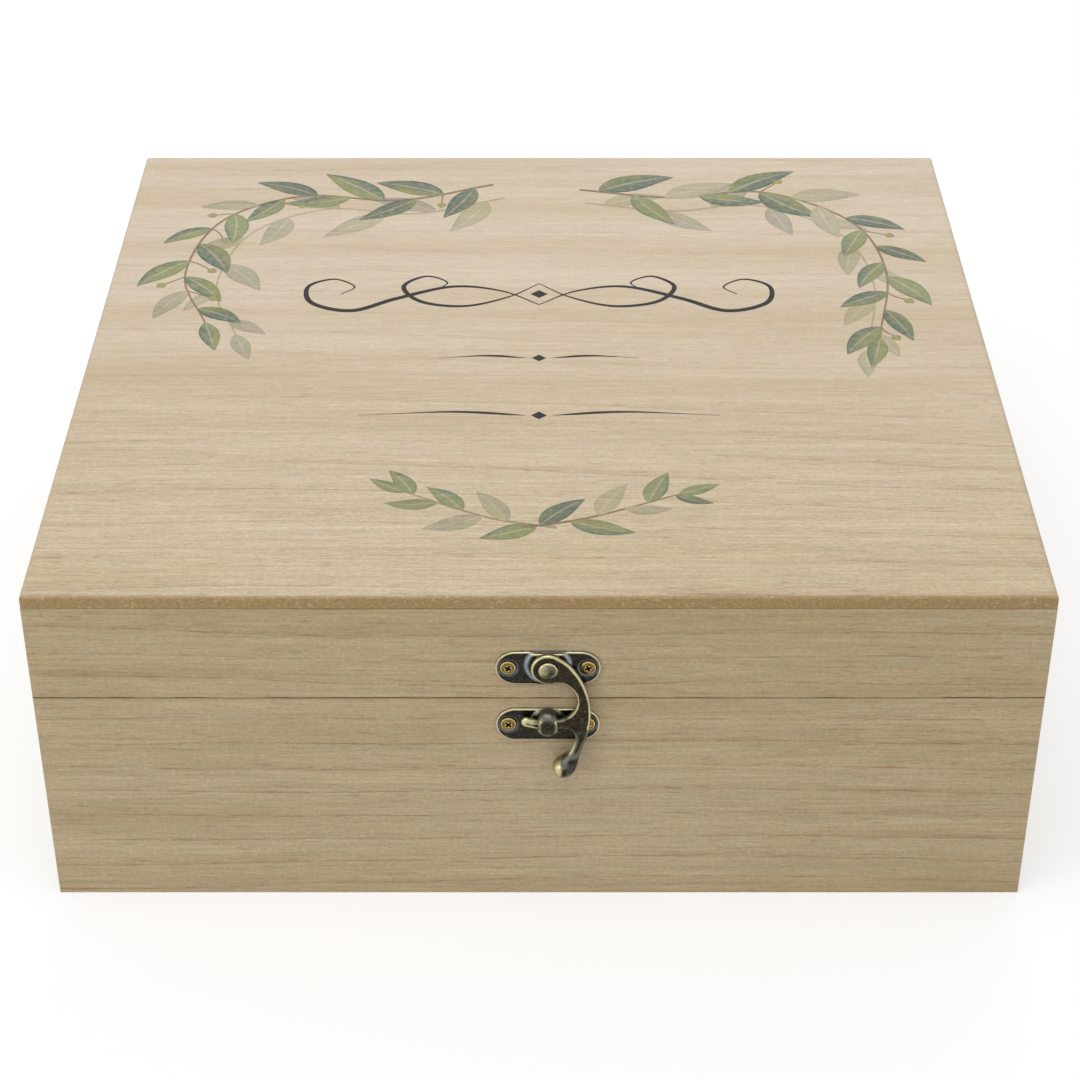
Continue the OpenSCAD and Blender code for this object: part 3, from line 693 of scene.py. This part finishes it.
def build_clasp(bronze, worn_bronze, brass):
    """Casts the clasp's pieces, each round the point x, z and within its low and high corners."""
    upper_z, lower_z = middle_z("hook_plate"), middle_z("keeper_plate")
    keeper_z = PIVOT.z - REACH * MM
    half_w, half_h = PLATE_W / 2, PLATE_H / 2
    front_piece("hook_plate_cast", hook_plate_field((PIVOT.z - upper_z) / MM),
                low=(-half_w, -half_h, 0), high=(half_w, half_h, BOSS_FRONT), cell=0.13,
                x=CLASP_X, z=upper_z, body="lid", slot="antique_bronze", material=bronze,
                stands_for="hook_plate", floor=0, handled=plate_edge_shade)
    front_piece("keeper_plate_cast", keeper_plate_field((keeper_z - lower_z) / MM),
                low=(-half_w, -half_h, 0), high=(half_w, half_h, PLATE_T), cell=0.13,
                x=CLASP_X, z=lower_z, body="base", slot="antique_bronze", material=bronze,
                stands_for="keeper_plate", floor=0, handled=plate_edge_shade)
    front_piece("keeper_post_cast", keeper_field((lower_z - keeper_z) / MM),
                low=(-5.1, -5.1, PLATE_T), high=(5.1, 5.1, POST_FRONT), cell=0.12,
                x=CLASP_X, z=keeper_z, body="base", slot="antique_bronze", material=worn_bronze,
                stands_for="keeper_post", floor=PLATE_T,
                handled=lambda u, v, w: -0.2 * ease(w, 3.0, 4.0))
    front_piece("swing_hook_cast", hook_field,
                low=(-7.5, -36.4, 1.0), high=(11.95, 4.85, 7.5), cell=0.15,
                x=CLASP_X, z=PIVOT.z, body="hook", slot="antique_bronze", material=worn_bronze,
                stands_for="swing_hook", handled=hook_rub_and_light)
    # the rivet is rubbed all over, with a painted highlight towards its upper left
    # the bounds are off the round numbers, so that no grid point lies exactly on the rivet's surface
    front_piece("hook_rivet_cast", rivet_field,
                low=(-2.76, -2.77, 0.1), high=(2.75, 2.75, RIVET_TOP), cell=0.1,
                x=CLASP_X, z=PIVOT.z, body="lid", slot="aged_brass", material=worn_bronze,
                stands_for="hook_rivet", handled=lambda u, v, w: 0.62 - 0.12 * u + 0.1 * v)
    screw_pair("keeper_screws", lower_z, "base", (48, 20), brass)
    screw_pair("hook_plate_screws", upper_z, "lid", (60, 22), brass)


def screw_pair(name, z, body, turns, brass):
    """The screws left and right in one plate, each with its recess turned by so many degrees."""
    pair = []
    for side, turn in zip((-1, 1), turns):
        pair.append(front_piece(
            f"{name}_{len(pair)}", screw_field(turn),
            low=(-2.3, -2.3, -6.7), high=(2.3, 2.3, 1.15), cell=0.09,
            x=CLASP_X + side * SCREW_OUT * MM, z=z, body=body, slot="aged_brass", material=brass,
            handled=screw_recess_shade(turn)))
    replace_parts(join(f"{name}_cast", pair), name)


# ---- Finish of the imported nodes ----

def give(material, *names):
    for name in names:
        mesh = NODES[name].data
        mesh.materials.clear()
        mesh.materials.append(material)


def weld(*names):
    """Closes the hairline splits between a mesh's faces."""
    for name in names:
        modifier = NODES[name].modifiers.new("weld", "WELD")
        modifier.merge_threshold = 0.001 * MM


def soften(width, *names):
    """Rounds a board's edges without moving its faces."""
    weld(*names)
    for name in names:
        bevel = NODES[name].modifiers.new("bevel", "BEVEL")
        bevel.width = width
        bevel.segments = 3
        bevel.limit_method = "ANGLE"
        bevel.angle_limit = math.radians(40)
        bevel.harden_normals = True


def dress_wood():
    give(board_material("board_front", "X", "Z", 1.0), "base_front")
    give(board_material("board_back", "X", "Z", 2.0), "base_back")
    give(board_material("board_left", "Y", "Z", 4.0), "base_left")
    give(board_material("board_right", "Y", "Z", 5.0), "base_right")
    give(board_material("board_bottom", "X", "Y", 6.0, ring=16.0), "base_bottom")
    give(board_material("rail_front", "X", "Z", 7.0), "lid_front_rail")
    give(board_material("rail_back", "X", "Z", 8.0), "lid_back_rail")
    give(board_material("rail_left", "Y", "Z", 9.0), "lid_left_rail")
    give(board_material("rail_right", "Y", "Z", 10.0), "lid_right_rail")
    give(panel_material(), "lid_top_panel")
    soften(0.2 * MM, "base_front", "base_back", "base_left", "base_right", "base_bottom",
           "lid_front_rail", "lid_back_rail", "lid_left_rail", "lid_right_rail")
    soften(0.25 * MM, "lid_top_panel")


def dress_metal():
    # each metal's third colour is painted on its slopes: a painted reflection, lighter than the flats,
    # except on the hinge screws
    bronze = bronze_material("antique_bronze", srgb(38, 38, 36), srgb(62, 55, 42),
                             srgb(146, 153, 164), srgb(194, 186, 146))
    worn_bronze = bronze_material("worn_bronze", srgb(42, 38, 30), srgb(68, 58, 38),
                                  srgb(108, 107, 100), srgb(198, 190, 148))
    brass = bronze_material("aged_brass", srgb(102, 82, 42), srgb(132, 108, 58),
                            srgb(140, 120, 74), srgb(190, 168, 108))
    build_clasp(bronze, worn_bronze, brass)
    leaf_bronze = bronze_material("leaf_bronze", srgb(46, 43, 36), srgb(78, 66, 46),
                                  srgb(120, 118, 112), srgb(198, 182, 130), cast_piece=False)
    # the hinge screws' slope colour is darker than their flats: painted shade on their slopes
    screw_brass = bronze_material("screw_brass", srgb(146, 124, 78), srgb(170, 146, 94),
                                  srgb(84, 68, 40), srgb(212, 190, 130), cast_piece=False)
    leaves = ["hinge_left_lower_leaf", "hinge_right_lower_leaf",
              "hinge_left_upper_leaf", "hinge_right_upper_leaf"]
    give(leaf_bronze, *leaves)
    screws = ["hinge_left_lower_screws", "hinge_right_lower_screws",
              "hinge_left_upper_screws", "hinge_right_upper_screws"]
    give(screw_brass, *screws)
    weld(*screws)
    give(steel_material(), "hinge_left_pin", "hinge_right_pin")


# ---- Print on the lid: thin inked shapes, in millimetres on the panel's face ----

INK_DEPTH = 0.02                # how far each shape reaches into the wood
INK_STEP = 0.001                # height of each shape over the one before it
LAYER_SHAPES = 60               # shapes in a layer at most: the next layer starts above that many
BERRY, STEM = 2.2, 3.0          # shades that leaf_ink_material tells apart


def smooth_path(points, steps):
    """Points along a smooth curve through the given ones, and its direction at each."""
    p = np.array([2 * np.array(points[0]) - points[1], *points, 2 * np.array(points[-1]) - points[-2]])
    t = np.linspace(0, 1, steps, endpoint=False)[:, None]
    runs = []
    for a, b, c, d in zip(p, p[1:], p[2:], p[3:]):
        runs.append(0.5 * (2 * b + (c - a) * t + (2 * a - 5 * b + 4 * c - d) * t ** 2
                           + (3 * b - a - 3 * c + d) * t ** 3))
    path = np.concatenate(runs + [p[-2:-1]])
    heading = np.gradient(path, axis=0)
    return path, heading / np.linalg.norm(heading, axis=1)[:, None]


def stroke(path, heading, half_widths, shade):
    """A ribbon along a path: rows of places, with how far along and across the ribbon each lies."""
    across = np.linspace(-1, 1, 5)
    side = np.stack([-heading[:, 1], heading[:, 0]], -1)
    rows = path[:, None] + side[:, None] * (half_widths[:, None] * across)[..., None]
    along = np.repeat(np.linspace(0, 1, len(path))[:, None], len(across), 1)
    return rows, along, np.broadcast_to(across, along.shape), shade


def leaf(root, angle, length, width, bend, shade):
    """A slim leaf from its root, curving by bend along its length; angle and bend in degrees."""
    t = np.linspace(0, 1, 16)
    turn = np.radians(angle + bend * t)
    steps = np.stack([np.cos(turn), np.sin(turn)], -1) * length / (len(t) - 1)
    path = np.array(root) + np.cumsum(steps, 0) - steps[0]
    half = width / 2 * np.sin(np.pi * t ** 0.86) ** 0.9 * (1 - 0.25 * t) + 0.12 * (1 - t) + 0.03
    return stroke(path, steps / np.linalg.norm(steps, axis=1)[:, None], half, shade)


def sprig(draw, points, leaf_l, spacing, fade=0.0, bare=6.0, berries=0.0):
    """A stem with leaves set left and right along it, smaller towards its tip. Leaves start bare
    millimetres along it. fade and berries are the shares of faded leaves and of leaves with a berry."""
    path, heading = smooth_path(points, 24)
    gone = np.concatenate([[0], np.cumsum(np.linalg.norm(np.diff(path, axis=0), axis=1))])
    total = gone[-1]
    stem = stroke(path, heading, 0.62 - 0.36 * gone / total, STEM + fade)
    leaves = []
    at, side = bare, 1
    while at < total - 1:
        k = min(int(np.searchsorted(gone, at)), len(path) - 1)
        course = math.degrees(math.atan2(heading[k][1], heading[k][0]))
        size = leaf_l * (1 - 0.35 * at / total) * draw.uniform(0.82, 1.12)
        angle = course + side * draw.uniform(34, 58)
        shade = draw.random() * 0.999 + (1.0 if draw.random() < fade else 0.0)
        leaves.append(leaf(path[k], angle, size, size * draw.uniform(0.36, 0.44),
                           -side * draw.uniform(8, 30), shade))
        if draw.random() < berries:
            out = math.radians(course - side * draw.uniform(40, 65))
            reach = draw.uniform(6, 9)
            tip = path[k] + reach * np.array([math.cos(out), math.sin(out)])
            stalk, way = smooth_path([path[k], (path[k] + tip) / 2 + draw.uniform(-0.5, 0.5), tip], 6)
            leaves.append(stroke(stalk, way, np.full(len(stalk), 0.22), STEM + fade))
            leaves.append(leaf(tip, math.degrees(out), draw.uniform(3.0, 3.8), 3.3, 0, BERRY))
        at += spacing * draw.uniform(0.85, 1.15)
        side = -side
    end = math.degrees(math.atan2(heading[-1][1], heading[-1][0]))
    shade = draw.random() * 0.999 + (1.0 if fade == 1.0 else 0.0)
    leaves.append(leaf(path[-1], end, leaf_l * 0.62, leaf_l * 0.24, draw.uniform(-12, 12), shade))
    return [stem] + leaves


def swell(count, thin, thick, at=0.5):
    """Half widths of a pen stroke that presses hardest at one place along it."""
    t = np.linspace(0, 1, count)
    return thin + (thick - thin) * np.sin(np.pi * t ** (math.log(0.5) / math.log(at))) ** 2


def scrolls():
    """A plain pen ornament, the same to the left and right: long and short scroll, and two rules.
    Each stroke has its points, its half width where thin and thick, and where it is thickest."""
    curves = [
        ([(0, 26), (12, 35), (28, 38), (46, 30), (60, 22), (73, 27), (75, 38), (67, 43),
          (60, 38), (64, 33)], 0.25, 1.05, 0.42),
        ([(0, 40), (10, 31), (24, 25), (38, 28), (44, 38), (37, 45), (30, 41), (33, 36)],
         0.22, 0.85, 0.45),
        ([(4, -8), (16, -6.6), (31, -8)], 0.1, 0.6, 0.35),
        ([(4, -42), (26, -40), (54, -42)], 0.1, 0.65, 0.3),
    ]
    strokes = []
    for points, thin, thick, at in curves:
        for side in (-1, 1):
            path, heading = smooth_path([(side * x, y) for x, y in points], 16)
            strokes.append(stroke(path, heading, swell(len(path), thin, thick, at), 0.0))
    span = np.linspace(-1, 1, 9)
    for y, size in ((-8, 2.2), (-42, 2.4), (33, 2.8)):
        path = np.stack([size * span, np.full(len(span), float(y))], -1)
        diamond = size * (1 - np.abs(span)) * 0.9 + 0.03
        strokes.append(stroke(path, np.tile([1.0, 0.0], (len(span), 1)), diamond, 0.0))
    return strokes


def ink_piece(name, shapes, material, layer=0):
    """One object from many inked shapes, each a thin closed slab that reaches into the wood."""
    places, faces, along, across, shade = [], [], [], [], []
    for number, (rows, t, s, tone) in enumerate(shapes):
        n, m = t.shape
        base = len(places)
        height = (1 + number + layer * LAYER_SHAPES) * INK_STEP
        for z in (height, -INK_DEPTH):
            for k in range(n):
                places += [(x * MM, y * MM, PANEL_TOP + z * MM) for x, y in rows[k]]
            along += t.ravel().tolist()
            across += s.ravel().tolist()
            shade += [tone] * (n * m)
        for i in range(n - 1):
            for j in range(m - 1):
                a = base + i * m + j
                faces.append((a, a + m, a + m + 1, a + 1))
                a += n * m
                faces.append((a, a + 1, a + m + 1, a + m))
        rim = [i * m for i in range(n)] + [(n - 1) * m + j for j in range(1, m)]
        rim += [i * m + m - 1 for i in range(n - 2, -1, -1)] + list(range(m - 2, 0, -1))
        for a, b in zip(rim, rim[1:] + rim[:1]):
            faces.append((base + a, base + a + n * m, base + b + n * m, base + b))
    mesh = bpy.data.meshes.new(name)
    mesh.from_pydata(places, [], faces)
    for key, values in (("ink_along", along), ("ink_across", across), ("ink_shade", shade)):
        mesh.attributes.new(key, "FLOAT", "POINT").data.foreach_set("value", values)
    shell = bmesh.new()
    shell.from_mesh(mesh)
    bmesh.ops.recalc_face_normals(shell, faces=shell.faces)
    shell.to_mesh(mesh)
    shell.free()
    mesh.materials.append(material)
    piece = bpy.data.objects.new(name, mesh)
    bpy.context.scene.collection.objects.link(piece)
    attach(piece, "lid")
    return piece


def leaf_ink_material():
    """Watercolour on wood: pigment pools at the edges and veins, and the grain shows through, with the
    panel's painted sheen.
    Shades 0 to 1 are full leaves, 1 to 2 faded ones, 2 to 3 berries and over 3 stems."""
    tree = material_tree("leaf_ink")
    grain_and_sheen, height = panel_grain_and_sheen(tree)
    along, across, shade = (tree.add("ShaderNodeAttribute", attribute_name=key).outputs["Fac"]
                            for key in ("ink_along", "ink_across", "ink_shade"))
    place = tree.coords()
    wash = tree.noise(tree.scaled(place, 0.09, 0.09, 0.09), detail=3.0, roughness=0.6)
    bloom = tree.noise(tree.scaled(place, 0.45, 0.45, 0.45), detail=4.0, roughness=0.65)
    kind = tree.math("FRACT", shade)
    edge = tree.math("ABSOLUTE", across)

    teal, moss, sage = srgb(74, 118, 112), srgb(158, 180, 104), srgb(150, 184, 160)
    lean = tree.math("MULTIPLY_ADD", across, 0.22, tree.math("MULTIPLY_ADD", along, -0.28, wash))
    lean = tree.math("MULTIPLY_ADD", kind, 0.5, lean)
    ink = tree.mix(tree.smooth(lean, 0.42, 0.86), teal, moss)
    bleached = tree.smooth(tree.math("MULTIPLY_ADD", kind, 0.3, bloom), 0.5, 0.95, 0.0, 0.7)
    ink = tree.mix(bleached, ink, sage)

    # density: deeper at the rim, and lighter on the side veins and the midrib
    density = tree.math("MULTIPLY_ADD", bloom, -0.42, 1.08)
    density = tree.math("ADD", density, tree.smooth(edge, 0.72, 0.98, 0.0, 0.14))
    veins = tree.math("MULTIPLY_ADD", along, 7.0, tree.math("MULTIPLY", edge, -1.5))
    veins = tree.math("ABSOLUTE", tree.math("SUBTRACT", tree.math("FRACT", veins), 0.5))
    density = tree.math("SUBTRACT", density, tree.smooth(veins, 0.40, 0.5, 0.0, 0.10))
    density = tree.math("SUBTRACT", density, tree.smooth(edge, 0.16, 0.04, 0.0, 0.34))
    faded = tree.math("SUBTRACT", tree.smooth(shade, 0.995, 1.0), tree.smooth(shade, 1.995, 2.0))
    faded = tree.math("ADD", faded, tree.smooth(shade, 3.2, 3.8))
    density = tree.math("MULTIPLY", density, tree.math("MULTIPLY_ADD", faded, -0.52, 1.0), clamp=True)

    berry = tree.smooth(shade, 1.995, 2.0)
    ink = tree.mix(tree.math("MULTIPLY", berry, 0.85), ink, srgb(176, 190, 96))
    stem = tree.smooth(shade, 2.995, 3.0)
    bark = tree.mix(wash, srgb(122, 96, 62), srgb(160, 130, 90))
    ink = tree.mix(stem, ink, bark)
    colour = tree.mix(density, grain_and_sheen, tree.mix(1.0, grain_and_sheen, ink, "MULTIPLY"))
    return tree.finish({
        "Base Color": colour, "Roughness": 0.5, "Specular IOR Level": 0.5,
        "Normal": tree.bump(height, GRAIN_DEPTH, 0.5)})


def pen_ink_material():
    """Near-black ink that lets a little of the grain, with the panel's painted sheen, through."""
    tree = material_tree("pen_ink")
    grain_and_sheen, height = panel_grain_and_sheen(tree)
    ink = tree.mix(1.0, grain_and_sheen, srgb(44, 40, 40), "MULTIPLY")
    colour = tree.mix(0.6, ink, srgb(22, 20, 20))
    return tree.finish({
        "Base Color": colour, "Roughness": 0.5, "Specular IOR Level": 0.25,
        "Normal": tree.bump(height, GRAIN_DEPTH, 0.5)})


def print_lid():
    """Two boughs from the back's middle to the sides, a crossed pair in front, and the ornament."""
    draw = random.Random(11)
    inks = leaf_ink_material()
    left = [(-16, 112), (-48, 100), (-82, 103), (-108, 84), (-116, 46), (-106, 14)]
    right = [(14, 108), (46, 102), (78, 106), (106, 84), (114, 48), (107, 4)]
    for name, course in (("print_bough_left", left), ("print_bough_right", right)):
        shadow = [(0.93 * x + 3, 0.97 * y - 7) for x, y in course]
        ink_piece(f"{name}_pale", sprig(draw, shadow, 27, 19, fade=1.0), inks)
        ink_piece(name, sprig(draw, course, 29, 11.0, fade=0.12, berries=0.3), inks, layer=1)
    pair = sprig(draw, [(5, -102), (-14, -97), (-38, -84)], 21, 8.0, fade=0.5, bare=5.0)
    pair += sprig(draw, [(-5, -102), (14, -97), (40, -85)], 21, 8.0, fade=0.2, bare=5.0)
    ink_piece("print_front_pair", pair, inks)
    ink_piece("print_flourish", scrolls(), pen_ink_material())


# ---- Camera, light and floor ----

FLOOR_HALF = 6.0
FLOOR_GREY = 0.6
GLOW_NEAR, GLOW_FAR = 0.485, 0.665      # what brings the floor to white where it is looked at
AMBIENT = 0.56
FOCAL_PX, FRAME_PX = 2525.0, 1080.0
CAMERA_PITCH = math.radians(34.33)
CAMERA_ASIDE, CAMERA_AHEAD, CAMERA_ABOVE = 0.0003, 0.552, 0.395


def stand_floor():
    """A grey floor that keeps the box's shadow and looks white. The lamps fade far from the box,
    so it glows more there."""
    mesh = bpy.data.meshes.new("floor")
    corners = [(-1, -1), (1, -1), (1, 1), (-1, 1)]
    mesh.from_pydata([(x * FLOOR_HALF, y * FLOOR_HALF, 0) for x, y in corners], [], [(0, 1, 2, 3)])
    floor = bpy.data.objects.new("floor", mesh)
    bpy.context.scene.collection.objects.link(floor)
    tree = material_tree("floor_paper")
    away = tree.add("ShaderNodeVectorMath", {0: tree.coords()}, operation="LENGTH").outputs["Value"]
    glow = tree.math("MULTIPLY", tree.seen(), tree.smooth(away, 0.7, 3.0, GLOW_NEAR, GLOW_FAR))
    mesh.materials.append(tree.finish({
        "Base Color": (FLOOR_GREY, FLOOR_GREY, FLOOR_GREY, 1), "Roughness": 0.9,
        "Specular IOR Level": 0.0, "Emission Color": (1, 1, 1, 1), "Emission Strength": glow}))


def softbox(name, place, size, power):
    """A rectangular lamp that points at the box."""
    lamp = bpy.data.lights.new(name, "AREA")
    lamp.shape = "RECTANGLE"
    lamp.size, lamp.size_y = size
    lamp.energy = power
    holder = bpy.data.objects.new(name, lamp)
    holder.location = place
    aim = Vector((0, 0, 0.05)) - Vector(place)
    holder.rotation_euler = aim.to_track_quat("-Z", "Y").to_euler()
    bpy.context.scene.collection.objects.link(holder)


def light_scene():
    """Plain soft light from the world, and three weak lamps. The world itself looks white."""
    world = bpy.data.worlds.new("studio")
    bpy.context.scene.world = world
    tree = Tree(world)
    white = {"Color": (1, 1, 1, 1)}
    ambient = tree.add("ShaderNodeBackground", {**white, "Strength": AMBIENT}).outputs[0]
    backdrop = tree.add("ShaderNodeBackground", {**white, "Strength": 1.0}).outputs[0]
    sky = tree.add("ShaderNodeMixShader", {0: tree.seen(), 1: ambient, 2: backdrop}).outputs[0]
    tree.add("ShaderNodeOutputWorld", {"Surface": sky})
    softbox("key", place=(-0.2, -0.5, 1.6), size=(1.2, 1.2), power=9)
    softbox("back", place=(0.2, 1.0, 1.3), size=(1.0, 0.6), power=3)
    softbox("side", place=(-0.9, -0.75, 0.35), size=(0.35, 0.5), power=1.5)


def set_camera():
    """In front of the box and above its lid, as the photograph's perspective gives."""
    camera = bpy.data.objects.new("camera", bpy.data.cameras.new("camera"))
    camera.data.sensor_width = 36
    camera.data.lens = camera.data.sensor_width * FOCAL_PX / FRAME_PX
    camera.data.clip_start = 0.01
    camera.location = (CAMERA_ASIDE, FRONT_Y - CAMERA_AHEAD, PANEL_TOP + CAMERA_ABOVE)
    camera.rotation_euler = (math.pi / 2 - CAMERA_PITCH, 0, 0)
    bpy.context.scene.collection.objects.link(camera)
    bpy.context.scene.camera = camera


set_camera()
light_scene()
stand_floor()
bpy.context.scene.view_settings.view_transform = "Standard"
dress_wood()
dress_metal()
print_lid()
